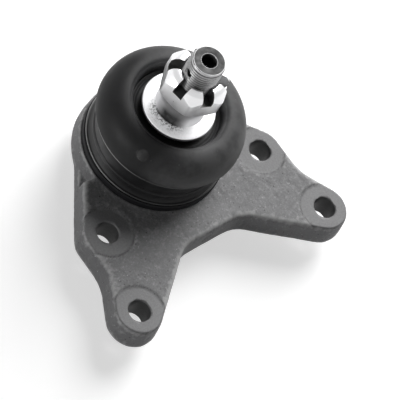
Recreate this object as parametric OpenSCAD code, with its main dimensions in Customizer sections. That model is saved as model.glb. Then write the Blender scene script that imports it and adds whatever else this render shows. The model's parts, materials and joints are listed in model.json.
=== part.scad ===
// Suspension ball joint: forged four-bolt housing, preloaded ball stud, dust boot and flanged castle nut.
// The origin is the centre of the ball, +Z runs up the stud and the bolt holes lie towards -Y.

/* [Bolt pattern] */
// Spacing of the two holes beside the barrel
near_hole_spacing = 90; // [75:1:108]
// Distance of that hole row behind the ball centre
near_row_y = 25.5; // [21:0.5:31]
// Spacing of the two holes at the arm tips
far_hole_spacing = 110; // [92:1:132]
// Distance of the arm tip row behind the ball centre
far_row_y = 63; // [52.5:0.5:76]
// Diameter of the bolt holes
bolt_hole_d = 10.5; // [8.4:0.1:12.6]
// Diameter of the machined spot face round each hole
spot_face_d = 24; // [20:0.5:28]

/* [Forging] */
// Thickness of the plate at the spot faces
plate_t = 13; // [10.4:0.5:16]
// Depth of the spot faces below the forged skin
spot_face_depth = 0.4; // [0.2:0.1:1]
// Radius of the metal round each bolt hole at the parting line
boss_r = 11.9; // [9.6:0.1:14.3]
// Draft of the forged walls in degrees
draft = 4; // [2:0.5:7]
// Rounding of the upper plate edge
edge_round = 1.6; // [0.8:0.1:2.5]
// Distance from the arm tip row back to the bend in the side walls
side_bend_rise = 21; // [17.5:0.5:25]
// Slope of the inner arm walls against the bolt rows in degrees
arm_inner_slope = 38; // [30:1:46]
// Distance behind the ball centre of the wall between the arms
notch_wall_y = 48; // [44:0.5:54]
// Radius of the two inner corners between the arms
notch_corner_r = 16; // [8:1:20]
// Radius of the hollow bend in the outer arm walls
waist_r = 20; // [10:1:28]

/* [Barrel] */
// Outer radius of the barrel beside the plate
barrel_r = 35; // [32:0.5:42]
// Height of the barrel rim above the spot faces
rim_h = 0.8; // [0.6:0.1:2]
// Thickness of the rim round the boot ring
rim_t = 1; // [0.8:0.1:1.6]
// Radius of the lower barrel below the plate
lower_barrel_r = 28.5; // [26:0.5:31]
// Inset of the straight side walls from the barrel wall
side_wall_inset = 2.2; // [1:0.1:3]
// Depth below the spot faces of the narrow steps between the side walls and the barrel
side_step_depth = 6; // [4:0.5:8]
// Height of the pressed ring round the foot of the boot
ring_h = 3.6; // [3:0.1:4.5]
// Wall of that ring
ring_t = 2; // [1.6:0.1:2.4]

/* [Ball and seats] */
// Diameter of the ball
ball_d = 28; // [24:0.4:33.6]
// Wall of the ball seats at the equator
seat_t = 3; // [2.4:0.1:4]
// Largest swing of the stud in any direction, in degrees
swing = 24; // [18:1:26]
// Wall of the lower seat under the ball
seat_floor_t = 2.8; // [2:0.1:3.6]
// Height left for the coned spring
spring_room = 2; // [1.6:0.1:2.6]
// Thickness of the coned spring
spring_t = 1.2; // [0.9:0.1:1.5]
// Thickness of the end cover
cover_t = 3; // [2.4:0.1:3.6]
// Thickness of the edge that is rolled over the cover
crimp_t = 1.6; // [1.2:0.1:2.2]
// Thread diameter of the grease plug
plug_d = 8; // [6:0.5:10]
// Diameter of the plug head
plug_head_d = 13; // [11:0.5:16]
// Thickness of the plug head
plug_head_t = 1; // [0.8:0.1:1.2]
// Thickness of the plug gasket
gasket_t = 0.5; // [0.4:0.05:0.6]

/* [Stud] */
// Thread diameter of the stud
thread_d = 16; // [14:0.4:19.2]
// Length of the stud end that stands above the nut
stud_proud = 10; // [9.5:0.5:14]
// Length of the taper
taper_len = 20; // [16:0.5:24]
// Taper: one millimetre of diameter for this length
taper_ratio = 8; // [6:1:12]
// Diameter of the neck between ball and taper
neck_d = 15.4; // [13:0.2:17]
// Diameter of the cotter hole
cotter_hole_d = 4; // [3.2:0.1:4.8]
// Distance of the cotter hole from the stud end
cotter_hole_drop = 7.9; // [6.5:0.1:9.5]
// Turn of the cotter hole about the stud, in degrees
cotter_hole_turn = 166.5; // [0:0.5:180]
// Width across flats of the socket in the stud end
stud_socket_af = 6; // [5:0.5:7]
// Depth of that socket
stud_socket_depth = 6; // [4:0.5:8]

/* [Castle nut] */
// Width across flats
nut_af = 27; // [24:0.5:30]
// Diameter of the flange
nut_flange_d = 34; // [30:0.5:40]
// Thickness of the flange at its edge
nut_flange_t = 2.4; // [1.6:0.1:3.2]
// Wall of the round collar between flange and hexagon
nut_collar_wall = 2.6; // [2.1:0.1:3.2]
// Height of the flange and collar together
nut_collar_h = 16; // [13:0.5:19.5]
// Height of the hexagon with its crown
nut_hex_h = 15; // [12.5:0.5:18]
// Width of the six crown slots
slot_w = 5.2; // [4.4:0.1:6]
// Depth of the crown slots
slot_depth = 6.5; // [5:0.5:8]
// Turn of the first slot about the stud, in degrees
slot_turn = 10; // [0:1:59]

/* [Boot] */
// Largest radius of the boot
boot_r = 34.4; // [30:0.5:37]
// Height of the boot crown above the ball centre
boot_h = 38; // [32:0.5:46]
// Wall of the boot
boot_wall = 2.6; // [2:0.1:3.2]
// Radius of the recess in the boot crown
boot_recess_r = 20.6; // [19:0.1:22.5]
// Depth of that recess
boot_recess_depth = 6.5; // [5:0.5:8]
// Height of the boot neck above the recess floor
boot_neck_rise = 3; // [2.6:0.1:4]
// Wire of the clip round the boot neck
clip_wire_d = 1.6; // [1.2:0.1:2]

/* [Clearances] */
// Radial gap of the ball in its seats
ball_gap = 0.03; // [0.02:0.01:0.08]
// Gap between parts that only lie beside each other
part_gap = 0.3; // [0.2:0.05:0.4]
// Gap under the sealing lips of the boot
seal_gap = 0.05; // [0.02:0.01:0.1]

/* [Hidden] */
$fn = 96;
arc_step = 9;

near_x = near_hole_spacing / 2;
far_x = far_hole_spacing / 2;
near_hole = [near_x, -near_row_y];
far_hole = [far_x, -far_row_y];
holes = [near_hole, far_hole];
skin_z = spot_face_depth;
plate_bottom = -plate_t;

ball_r = ball_d / 2;
socket_r = ball_r + ball_gap;
liner_r = ball_r + seat_t;

// Heights below the ball: seat floor, spring, end cover and rolled edge
seat_floor_z = -ball_r - seat_floor_t;
cover_top = seat_floor_z - spring_room;
cover_bottom = cover_top - cover_t;
housing_bottom = cover_bottom - crimp_t;

function unit(a) = [cos(a), sin(a)];
// Point where two lines meet, each given by the angle of its normal and its distance from the origin
function meet(a1, d1, a2, d2) =
    let (den = sin(a2 - a1))
    [(d1 * sin(a2) - d2 * sin(a1)) / den, (d2 * cos(a1) - d1 * cos(a2)) / den];
// Points on an arc, from one normal angle to another, both ends included
function arc(c, r, from, to) =
    let (n = max(2, ceil(abs(to - from) / arc_step)))
    [for (i = [0 : n]) c + r * unit(from + (to - from) * i / n)];
// A hollow arc has its centre outside the metal, so its points lie against the normal
function hollow_arc(c, r, from, to) = arc(c, -r, from, to);

// Normal angle of the side wall that runs past the barrel and touches the near boss
side_wall_d = barrel_r - side_wall_inset;
side_normal = atan2(near_hole.y, near_hole.x) + acos((side_wall_d - boss_r) / norm(near_hole));
// Outer arm wall, from the bend in the side wall to the circle round the far hole
side_wall_x = near_x + boss_r;
bend_to_tip = [side_wall_x - far_x, side_bend_rise];
outer_normal = atan2(bend_to_tip.y, bend_to_tip.x) - acos(boss_r / norm(bend_to_tip));
outer_d = far_hole * unit(outer_normal) + boss_r;
waist_c = meet(0, side_wall_x + waist_r, outer_normal, outer_d + waist_r);
// Inner arm wall and its corner, whose radius is limited by the length of the wall between the arms
inner_normal = -90 - arm_inner_slope;
inner_d = far_hole * unit(inner_normal) + boss_r;
notch_corner = meet(-90, notch_wall_y, inner_normal, inner_d);
notch_r = min(notch_corner_r, (notch_corner.x - 1) / tan(arm_inner_slope / 2));
notch_c = meet(-90, notch_wall_y + notch_r, inner_normal, inner_d + notch_r);

// Right half of the plate outline, moved outwards by g, from the barrel round to the middle of the notch
function half_outline(g) = concat(
    [[0, side_wall_d * 0.7], (side_wall_d + g) * unit(side_normal)],
    arc(near_hole, boss_r + g, side_normal, 0),
    hollow_arc(waist_c, waist_r - g, 0, outer_normal),
    arc(far_hole, boss_r + g, outer_normal, inner_normal),
    hollow_arc(notch_c, notch_r - g, inner_normal, -90),
    [[0, -notch_wall_y - g]]);
function outline(g) =
    let (h = half_outline(g), n = len(h))
    concat(h, [for (i = [n - 2 : -1 : 1]) [-h[i].x, h[i].y]]);

// Heights of the forged walls with the growth of the outline at each: drafted side, then the rounded edge
wall_top = skin_z - edge_round;
wall_pull = -(wall_top - plate_bottom) * tan(draft);
bottom_break = 0.6;
function edge_level(a) = [wall_top + edge_round * sin(a), wall_pull - edge_round * (1 - cos(a))];
plate_levels = concat(
    [[plate_bottom, -bottom_break], [plate_bottom + bottom_break, 0]],
    [for (a = [0 : 22.5 : 90]) edge_level(a)]);

// Solid through a list of levels, all with the same number of outline points.
// Its end faces are cut across each arm and on the middle line, so that the first corner of each face
// sees all the others.
near_end = 1 + len(arc(near_hole, boss_r, side_normal, 0));
notch_start = near_end + 1 + len(hollow_arc(waist_c, waist_r, 0, outer_normal))
    + len(arc(far_hole, boss_r, outer_normal, inner_normal));
outline_last = len(half_outline(0)) - 1;
function backwards(face) = concat([face[0]], [for (i = [len(face) - 1 : -1 : 1]) face[i]]);
function mirrored(face, n) = backwards([for (i = face) (n - i) % n]);
module forged_levels(levels) {
    n = 2 * outline_last;
    top_at = (len(levels) - 1) * n;
    body = concat([for (i = [0 : near_end]) i], [for (i = [notch_start : outline_last]) i]);
    arm = concat([notch_start], [for (i = [near_end : notch_start - 1]) i]);
    top = [body, arm, mirrored(body, n), mirrored(arm, n)];
    points = [for (l = levels) for (p = outline(l[1])) [p.x, p.y, l[0]]];
    sides = [for (k = [0 : len(levels) - 2]) for (i = [0 : n - 1])
        [k * n + i, k * n + (i + 1) % n, (k + 1) * n + (i + 1) % n, (k + 1) * n + i]];
    polyhedron(points, concat(sides,
        [for (f = top) [for (i = f) i + top_at]],
        [for (f = top) backwards(f)]), convexity = 6);
}

// Heights above the ball: boot crown, nut, stud end, thread and taper
recess_floor = boot_h - boot_recess_depth;
boot_neck_top = recess_floor + boot_neck_rise;
nut_over_boot = 0.5;
nut_z = boot_neck_top + nut_over_boot;
nut_hex_z = nut_z + nut_collar_h;
nut_top = nut_hex_z + nut_hex_h;
stud_h = nut_top + stud_proud;
taper_top_gap = 0.5;
taper_top_z = nut_hex_z - taper_top_gap;
taper_z = taper_top_z - taper_len;
shoulder_rise = 4.5;
shoulder_z = ball_r + shoulder_rise;
thread_r = thread_d / 2;
taper_step = 0.25;
taper_small_r = thread_r + taper_step;
shoulder_r = taper_small_r + taper_len / taper_ratio / 2;
neck_r = neck_d / 2;

// Radius that the leaning stud needs at height z, for a stud of radius r
function lean_r(z, r) = z * tan(swing) + r / cos(swing) + part_gap;
// The mouth lets the neck lean and stays clear of the ball
mouth_share = 0.56;
mouth_z = ball_r * mouth_share;
mouth_r = max(lean_r(mouth_z, neck_r), sqrt(ball_r * ball_r - mouth_z * mouth_z) + part_gap);
throat_drop = 1;
throat_z = ball_r - throat_drop;
throat_r = lean_r(throat_z, shoulder_r);
liner_bevel = 3;
liner_shoulder_z = mouth_z - liner_bevel;
liner_lip = 1.2;
liner_lip_r = mouth_r + liner_lip;

// Upper barrel: rim, ledge for the boot ring, and the seat of the boot's foot inside it
rim_chamfer = 0.4;
rim_inset = 0.8;
rim_r = barrel_r - rim_inset;
ledge_r = rim_r - rim_t;
ledge_depth = 0.5;
ledge_z = rim_h - ledge_depth;
ring_fit = 0.1;
boot_ring_r = ledge_r - ring_fit;
foot_r = boot_ring_r - ring_t;
foot_wall = 2.4;
foot_seat_r = foot_r - foot_wall - seal_gap;
throat_slope_h = 4;
foot_seat_z = throat_z - throat_slope_h;
throat_wall = 3;
throat_lip_r = throat_r + throat_wall;
barrel_toe_h = 3.5;
barrel_toe_inset = 1.5;
barrel_toe_r = barrel_r - barrel_toe_inset;
cover_step = 3.5;
cover_r = liner_r + cover_step;
crimp_w = 2.2;
crimp_r = cover_r - crimp_w;
barrel_chamfer = 1.5;

module barrel() {
    rotate_extrude()
        polygon([
            [throat_r, throat_z], [throat_lip_r, throat_z],
            [foot_seat_r, foot_seat_z], [foot_seat_r, ledge_z], [ledge_r, ledge_z], [ledge_r, rim_h],
            [rim_r - rim_chamfer, rim_h], [rim_r, rim_h - rim_chamfer],
            [barrel_r, plate_bottom + barrel_toe_h], [barrel_toe_r, plate_bottom],
            [lower_barrel_r, plate_bottom], [lower_barrel_r, housing_bottom + barrel_chamfer],
            [lower_barrel_r - barrel_chamfer, housing_bottom],
            [crimp_r, housing_bottom], [crimp_r, cover_bottom],
            [cover_r, cover_bottom], [cover_r, cover_top],
            [liner_r, cover_top], [liner_r, liner_shoulder_z],
            [liner_lip_r, mouth_z], [mouth_r, mouth_z]]);
}

module at_holes() {
    for (side = [-1, 1], h = holes) translate([side * h.x, h.y, 0]) children();
}

// Beside the barrel the plate steps down behind a slanting line that starts inside the barrel wall
step_x = barrel_r - 1.6;
step_y = -1.5;
step_slope = 15;
module side_steps() {
    for (side = [0, 1]) mirror([side, 0, 0])
        translate([step_x, step_y, -side_step_depth]) rotate(step_slope)
            cube([barrel_r, barrel_r, side_step_depth + skin_z + 1]);
}

// The plate is cut away where the barrel stands, up to a line inside the metal of its toe and rim
plate_inner_r = (ledge_r + barrel_toe_r) / 2;
module plate() {
    difference() {
        forged_levels(plate_levels);
        translate([0, 0, plate_bottom - 1]) cylinder(r = plate_inner_r, h = plate_t + skin_z + 2);
        side_steps();
    }
}

module housing() {
    color([0.32, 0.33, 0.34])
        difference() {
            union() {
                barrel();
                plate();
            }
            at_holes() {
                translate([0, 0, plate_bottom - 1]) cylinder(d = bolt_hole_d, h = plate_t + 2);
                cylinder(d = spot_face_d, h = skin_z + 1);
            }
        }
}

// Ball seats: the upper one carries the load, the lower one is pushed up by the spring
module upper_ball_seat() {
    color([0.83, 0.80, 0.70])
        rotate_extrude()
            difference() {
                polygon([[0, part_gap], [liner_r, part_gap], [liner_r, liner_shoulder_z],
                         [liner_lip_r, mouth_z], [0, mouth_z]]);
                circle(r = socket_r);
                square([mouth_r, mouth_z + 1]);
            }
}

grease_hole_r = 4;
spring_ring_w = 3;
module lower_ball_seat() {
    color([0.83, 0.80, 0.70])
        rotate_extrude()
            difference() {
                translate([0, seat_floor_z]) square([liner_r, -seat_floor_z - part_gap]);
                circle(r = socket_r);
                translate([0, seat_floor_z - 1]) square([grease_hole_r, -seat_floor_z]);
            }
}

spring_inner_r = grease_hole_r + spring_ring_w;
module preload_spring() {
    color([0.45, 0.46, 0.48])
        rotate_extrude()
            polygon([[liner_r - part_gap, cover_top], [liner_r - part_gap, cover_top + spring_t],
                     [spring_inner_r, seat_floor_z], [spring_inner_r, seat_floor_z - spring_t]]);
}

plug_r = plug_d / 2;
module end_cover() {
    color([0.55, 0.56, 0.57])
        translate([0, 0, cover_bottom])
            difference() {
                cylinder(r = cover_r, h = cover_t);
                translate([0, 0, -1]) cylinder(r = plug_r, h = cover_t + 2);
            }
}

// Low-headed screw plug with a hexagon socket, sealed by a copper gasket
gasket_bottom = cover_bottom - gasket_t;
plug_bottom = gasket_bottom - plug_head_t;
plug_socket_af = plug_d / 2;
module grease_plug() {
    color([0.72, 0.70, 0.62])
        difference() {
            union() {
                translate([0, 0, plug_bottom]) cylinder(d = plug_head_d, h = plug_head_t);
                translate([0, 0, gasket_bottom]) cylinder(r = plug_r, h = cover_top - gasket_bottom);
            }
            translate([0, 0, plug_bottom - 1]) cylinder(r = plug_socket_af / sqrt(3), h = cover_t, $fn = 6);
        }
}

module plug_gasket() {
    color([0.72, 0.45, 0.28])
        translate([0, 0, gasket_bottom])
            difference() {
                cylinder(d = plug_head_d - 1, h = gasket_t);
                translate([0, 0, -1]) cylinder(r = plug_r, h = gasket_t + 2);
            }
}

// Boot outline: points on an ellipse in the half plane, angles measured at its centre
function bow(c, rx, rz, from, to) =
    let (n = max(3, ceil(abs(to - from) / 12)))
    [for (i = [0 : n]) let (a = from + (to - from) * i / n) [c.x + rx * cos(a), c.y + rz * sin(a)]];

// Boot sections: foot in the ring, lip over it, valley, bulge with a fuller lower half, recessed crown
lip_bottom = ledge_z + ring_h;
lip_inset = 1.6;
lip_r = barrel_r - lip_inset;
lip_round = [1.4, 1.7];
lip_c = [lip_r - lip_round.x, lip_bottom + lip_round.y];
valley_inset = 2.8;
valley_rise = 6.7;
valley_c = [barrel_r - valley_inset, lip_bottom + valley_rise];
valley_r = 2;
bulge_w = 10.4;
bulge_up = 13;
bulge_down = 16;
bulge_c = [boot_r - bulge_w, boot_h - bulge_up];
crown_round = bulge_c.x - boot_recess_r;
floor_bottom = recess_floor - boot_wall;
neck_r_boot = shoulder_r + seal_gap;
neck_wall = 2.6;
neck_out_r = neck_r_boot + neck_wall;
neck_drop = 7;
neck_bottom = recess_floor - neck_drop;
clip_rise = 0.2;
clip_z = recess_floor + clip_rise + clip_wire_d / 2;
clip_lip = 0.9;
clip_lip_z = clip_z + clip_wire_d / 2 + 0.1;
floor_round = 0.8;
neck_round = 0.4;

boot_outside = concat(
    [[foot_r - foot_wall, ledge_z], [foot_r, ledge_z], [foot_r, lip_bottom]],
    bow(lip_c, lip_round.x, lip_round.y, -90, 80),
    bow(valley_c, valley_r, valley_r, 235, 130),
    bow(bulge_c, bulge_w, bulge_down, -42, 0),
    bow(bulge_c, bulge_w, bulge_up, 10, 90),
    bow([bulge_c.x, boot_h - crown_round], crown_round, crown_round, 105, 180),
    [[boot_recess_r, recess_floor + floor_round], [boot_recess_r - floor_round, recess_floor],
     [neck_out_r, recess_floor], [neck_out_r, clip_lip_z],
     [neck_out_r + clip_lip, clip_lip_z + neck_round], [neck_out_r + clip_lip / 2, boot_neck_top],
     [neck_r_boot + neck_round, boot_neck_top]]);
boot_inside = concat(
    [[neck_r_boot, boot_neck_top - neck_round], [neck_r_boot, neck_bottom],
     [neck_r_boot + neck_wall / 2, neck_bottom],
     [neck_out_r, floor_bottom], [boot_recess_r - 0.6, floor_bottom],
     [boot_recess_r + boot_wall, floor_bottom + 2.4],
     [boot_recess_r + boot_wall, boot_h - boot_wall - crown_round / 2]],
    bow(bulge_c, bulge_w - boot_wall, bulge_up - boot_wall, 75, 0),
    bow(bulge_c, bulge_w - boot_wall, bulge_down - boot_wall, -10, -50),
    [[foot_r - foot_wall + 0.1, valley_c.y + 1], [foot_r - foot_wall, foot_seat_z - 0.5]]);

module dust_boot() {
    color([0.10, 0.10, 0.10])
        rotate_extrude() polygon(concat(boot_outside, boot_inside));
}

// Pressed steel ring on the ledge of the rim, round the foot of the boot
ring_round = 0.4;
module boot_seat_ring() {
    color([0.12, 0.12, 0.13])
        rotate_extrude()
            polygon([[foot_r, ledge_z], [boot_ring_r, ledge_z], [boot_ring_r, lip_bottom - ring_round],
                     [boot_ring_r - ring_round, lip_bottom], [foot_r, lip_bottom]]);
}

module boot_neck_clip() {
    color([0.30, 0.30, 0.31])
        translate([0, 0, clip_z])
            rotate_extrude() translate([neck_out_r + clip_wire_d / 2, 0]) circle(d = clip_wire_d, $fn = 32);
}

stud_chamfer = 0.9;
stud_chamfer_h = 2.2;
relief_r = thread_r - 0.6;
relief_z = taper_top_z + 0.8;
relief_h = 1.2;
thread_start_z = relief_z + relief_h + 0.6;
neck_slope_h = 4;
socket_corner_r = stud_socket_af / sqrt(3);
socket_lead = 0.8;
socket_ring_r = socket_corner_r + 0.35;
module ball_stud() {
    color([0.62, 0.63, 0.64])
        difference() {
            union() {
                sphere(r = ball_r);
                rotate_extrude()
                    polygon([
                        [0, 0], [neck_r, 0], [neck_r, shoulder_z - neck_slope_h],
                        [shoulder_r, shoulder_z], [shoulder_r, taper_z], [taper_small_r, taper_top_z],
                        [relief_r, relief_z], [relief_r, relief_z + relief_h],
                        [thread_r, thread_start_z], [thread_r, stud_h - stud_chamfer_h],
                        [thread_r - stud_chamfer, stud_h], [0, stud_h]]);
            }
            translate([0, 0, stud_h - stud_socket_depth])
                cylinder(r = socket_corner_r, h = stud_socket_depth + 1, $fn = 6);
            translate([0, 0, stud_h - socket_lead])
                cylinder(r1 = socket_ring_r - socket_lead, r2 = socket_ring_r, h = socket_lead);
            translate([0, 0, stud_h - cotter_hole_drop]) rotate([0, 90, cotter_hole_turn])
                cylinder(d = cotter_hole_d, h = thread_d + 2, center = true);
        }
}

// Castle nut: flange, collar and hexagon in one, with a domed crown cut by three crossing slots
nut_flange_r = nut_flange_d / 2;
nut_corner_r = nut_af / sqrt(3);
nut_flat_r = nut_af / 2;
nut_bore_r = thread_r + ball_gap;
nut_relief_gap = 0.4;
nut_relief_r = shoulder_r + nut_relief_gap;
nut_collar_r = nut_relief_r + nut_collar_wall;
flange_top = nut_z + nut_flange_t;
flange_round = 0.4;
flange_groove = 2.4;
hex_root = 0.5;
hex_foot_h = 2;
hex_over = 0.2;
nut_lead = 1.6;
// Dome over the hexagon: inset from the flats and drop from the top of the crown
dome = [[0.4, 3.6], [-0.9, 1.4], [-2.2, 0.4], [-3.4, 0]];
dome_foot_drop = 6.2;
module castle_nut() {
    color([0.86, 0.87, 0.88])
        difference() {
            union() {
                rotate_extrude()
                    polygon([
                        [0, nut_z], [nut_flange_r - flange_round, nut_z],
                        [nut_flange_r, nut_z + flange_round], [nut_flange_r, flange_top - flange_round],
                        [nut_flange_r - flange_round, flange_top],
                        [nut_flange_r - flange_groove, flange_top - flange_round],
                        [nut_collar_r + 3 * flange_round, flange_top - flange_round],
                        [nut_collar_r + flange_round, flange_top + 0.2],
                        [nut_collar_r, flange_top + 3 * flange_round],
                        [nut_collar_r, nut_hex_z + hex_root], [0, nut_hex_z + hex_root]]);
                intersection() {
                    translate([0, 0, nut_hex_z]) rotate(slot_turn + 30)
                        cylinder(r = nut_corner_r, h = nut_hex_h, $fn = 6);
                    rotate_extrude()
                        polygon(concat(
                            [[0, nut_hex_z], [nut_flat_r - hex_over, nut_hex_z],
                             [nut_corner_r + hex_over, nut_hex_z + hex_foot_h],
                             [nut_corner_r + hex_over, nut_top - dome_foot_drop]],
                            [for (d = dome) [nut_flat_r + d[0], nut_top - d[1]]],
                            [[0, nut_top]]));
                }
            }
            translate([0, 0, nut_z - 1]) cylinder(r = nut_bore_r, h = nut_top - nut_z + 2);
            translate([0, 0, nut_z - 1]) cylinder(r = nut_relief_r, h = nut_collar_h + 1);
            translate([0, 0, nut_top - nut_lead / 2])
                cylinder(r1 = nut_bore_r, r2 = nut_bore_r + nut_lead, h = nut_lead);
            for (turn = [0 : 60 : 120]) rotate(slot_turn + turn)
                translate([-nut_corner_r - 1, -slot_w / 2, nut_top - slot_depth])
                    cube([2 * nut_corner_r + 2, slot_w, slot_depth + 1]);
        }
}

housing();
upper_ball_seat();
lower_ball_seat();
preload_spring();
end_cover();
grease_plug();
plug_gasket();
boot_seat_ring();
dust_boot();
boot_neck_clip();
ball_stud();
castle_nut();
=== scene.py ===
"""Bolt-on suspension ball joint: forged bracket, rubber dust boot, threaded ball stud and castle nut."""

import json
import math

import bmesh
import bpy
import numpy as np
from bpy.props import FloatProperty, FloatVectorProperty, IntProperty, PointerProperty
from mathutils import Matrix, Vector, noise


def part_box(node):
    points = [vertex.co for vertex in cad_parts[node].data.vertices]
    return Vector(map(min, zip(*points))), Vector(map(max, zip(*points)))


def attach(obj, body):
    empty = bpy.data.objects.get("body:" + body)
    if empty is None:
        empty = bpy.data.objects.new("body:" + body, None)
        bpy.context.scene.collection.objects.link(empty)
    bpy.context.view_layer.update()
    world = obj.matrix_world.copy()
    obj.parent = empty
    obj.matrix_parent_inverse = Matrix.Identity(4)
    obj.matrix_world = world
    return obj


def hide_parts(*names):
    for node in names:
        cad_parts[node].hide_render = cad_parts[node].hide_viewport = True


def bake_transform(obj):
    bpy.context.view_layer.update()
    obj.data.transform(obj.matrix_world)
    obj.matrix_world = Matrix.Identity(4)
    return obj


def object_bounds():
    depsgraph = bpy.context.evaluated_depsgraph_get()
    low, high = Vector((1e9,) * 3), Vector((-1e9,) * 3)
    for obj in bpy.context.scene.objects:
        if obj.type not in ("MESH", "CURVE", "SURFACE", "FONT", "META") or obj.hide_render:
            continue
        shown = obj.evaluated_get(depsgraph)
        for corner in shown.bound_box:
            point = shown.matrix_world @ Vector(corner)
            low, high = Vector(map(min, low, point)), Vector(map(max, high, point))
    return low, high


bl_info = {
    "name": "Suspension Ball Joint",
    "version": (1, 0, 0),
    "blender": (4, 5, 0),
    "location": "View3D > Sidebar > Ball Joint",
    "description": "Finishes a bolt-on suspension ball joint round its packed model",
    "category": "Add Mesh",
}

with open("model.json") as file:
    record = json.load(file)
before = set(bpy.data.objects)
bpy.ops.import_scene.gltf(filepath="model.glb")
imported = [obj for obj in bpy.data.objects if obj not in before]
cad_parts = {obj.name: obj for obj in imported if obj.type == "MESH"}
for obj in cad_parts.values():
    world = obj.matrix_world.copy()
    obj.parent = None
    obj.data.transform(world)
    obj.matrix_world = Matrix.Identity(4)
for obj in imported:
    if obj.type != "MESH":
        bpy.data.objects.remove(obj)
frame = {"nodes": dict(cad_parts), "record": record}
cad_low, cad_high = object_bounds()
nodes = frame["nodes"]
mounts = {row["name"]: row for row in frame["record"]["mounts"]}

MM = 0.001

# Points round the stud axis in each ring of a turned piece
STUD_STEPS = 144
BOOT_STEPS = 320
NUT_STEPS = 360

# Edges that turn by more than this stay sharp
SHARP = math.radians(40)
STUD_SHARP = math.radians(50)
NUT_SHARP = math.radians(38)

# The key socket's round mouth, and the middle of the chamfer round it
SOCKET_MOUTH_R = 3.52 * MM
SOCKET_CHAMFER_R = 3.75 * MM

# Name, place and width across of each lamp; the stage settings hold its power
LAMPS = (
    ("key", (0.955, 0.40, 1.20), 1.10),
    ("rim", (-1.50, 0.42, 0.36), 0.60),
    ("back", (1.50, 0.62, 0.66), 1.20),
)
LAMP_TARGET = (0, -0.02, 0.01)
FLOOR_HALF = 3.0

# Pieces, roughness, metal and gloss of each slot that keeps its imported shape
FITTINGS = {
    # The ring's blackened steel is kept near black and dull, partly as painted shade for the groove under the
    # boot's lip; the neck clip shares it.
    "ring_black": (("boot_seat_ring", "boot_neck_clip"), 0.60, 0.0, 0.15),
    "seat_plastic": (("upper_ball_seat", "lower_ball_seat"), 0.40, 0.0, 0.5),
    "spring_steel": (("preload_spring",), 0.35, 1.0, 0.5),
    "cover_steel": (("end_cover",), 0.42, 0.9, 0.5),
    "plug_zinc": (("grease_plug",), 0.35, 1.0, 0.5),
    "gasket_brass": (("plug_gasket",), 0.40, 1.0, 0.5),
}


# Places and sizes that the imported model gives

def bolt_holes():
    """Plan positions of the four bolt holes."""
    found = []
    for row in (mounts["near_bolts"], mounts["far_bolts"]):
        half = row["dims"]["spacing_x_mm"] * MM / 2
        found += [(side * half, row["pos_m"][1]) for side in (-1, 1)]
    return found


bolt_r = mounts["near_bolts"]["dims"]["hole_r_mm"] * MM
plate_bottom_z = mounts["plate_underside"]["pos_m"][2]
ring_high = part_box("boot_seat_ring")[1]
boot_low, boot_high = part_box("dust_boot")
clip_low, clip_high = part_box("boot_neck_clip")
nut_low, nut_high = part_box("castle_nut")
stud_low, stud_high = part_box("ball_stud")

# The boot's neck, which the wire clip goes round and the nut's flange stands over
neck_outer_r = clip_high.x - (clip_high.z - clip_low.z)
neck_top_z = nut_low.z - 0.5 * MM


# Sizes and colours that a user would change

def length(name, default, description):
    """A length property, in metres."""
    return FloatProperty(name=name, description=description, default=default, unit="LENGTH", precision=5)


def turned_by(name, degrees, description):
    """An angle property."""
    return FloatProperty(name=name, description=description, default=math.radians(degrees), subtype="ANGLE")


def level(name, default, description, unit="NONE"):
    """A plain number, a power or a focal length."""
    return FloatProperty(name=name, description=description, default=default, unit=unit)


def position(name, default, description):
    """A place in the model's own frame, in metres."""
    return FloatVectorProperty(name=name, description=description, default=default,
                               subtype="TRANSLATION", unit="LENGTH", size=3)


def colour(name, default, description):
    """A colour property."""
    return FloatVectorProperty(name=name, description=description, default=default,
                               subtype="COLOR", min=0.0, max=1.0, size=3)


class ForgingSettings(bpy.types.PropertyGroup):
    grid: length("Grid", 0.67 * MM, "Edge length of the faces that carry the forged skin")
    round_passes: IntProperty(name="Rounding", description="Smoothing passes over the forged edges",
                              default=7, min=0, max=30)
    swell: length("Swell", 0.16 * MM, "Height of the broad unevenness of the forged skin")
    grain: length("Grain", 0.05 * MM, "Height of the fine grain of the forged skin")
    pit: length("Pits", 0.16 * MM, "Depth of the scale pits")
    spot_r: length("Spot face", 12.0 * MM, "Radius of the machined face round each bolt hole")
    skin: colour("Skin", (0.158, 0.158, 0.161), "Forged skin")
    # Also used as painted shade on the bracket's steep walls.
    skin_dark: colour("Scale", (0.105, 0.105, 0.108), "Darker patches of scale in the skin")
    # Also used as a painted shadow line round each spot face.
    pit_dark: colour("Pits", (0.030, 0.030, 0.030), "Small dark pits in the skin")
    speck: colour("Specks", (0.62, 0.62, 0.61), "Small bright specks in the skin")
    skin_worn: colour("Worn edges", (0.42, 0.42, 0.42), "Skin rubbed bright along the edges")
    skin_cut: colour("Machined faces", (0.162, 0.162, 0.164), "Spot faces")
    # Painted shade: the nearly black colour of the bolt holes' walls, whose insides lie in shade.
    bore_shade: colour("Bores", (0.014, 0.014, 0.014), "Dark film in the bolt holes")


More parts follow.
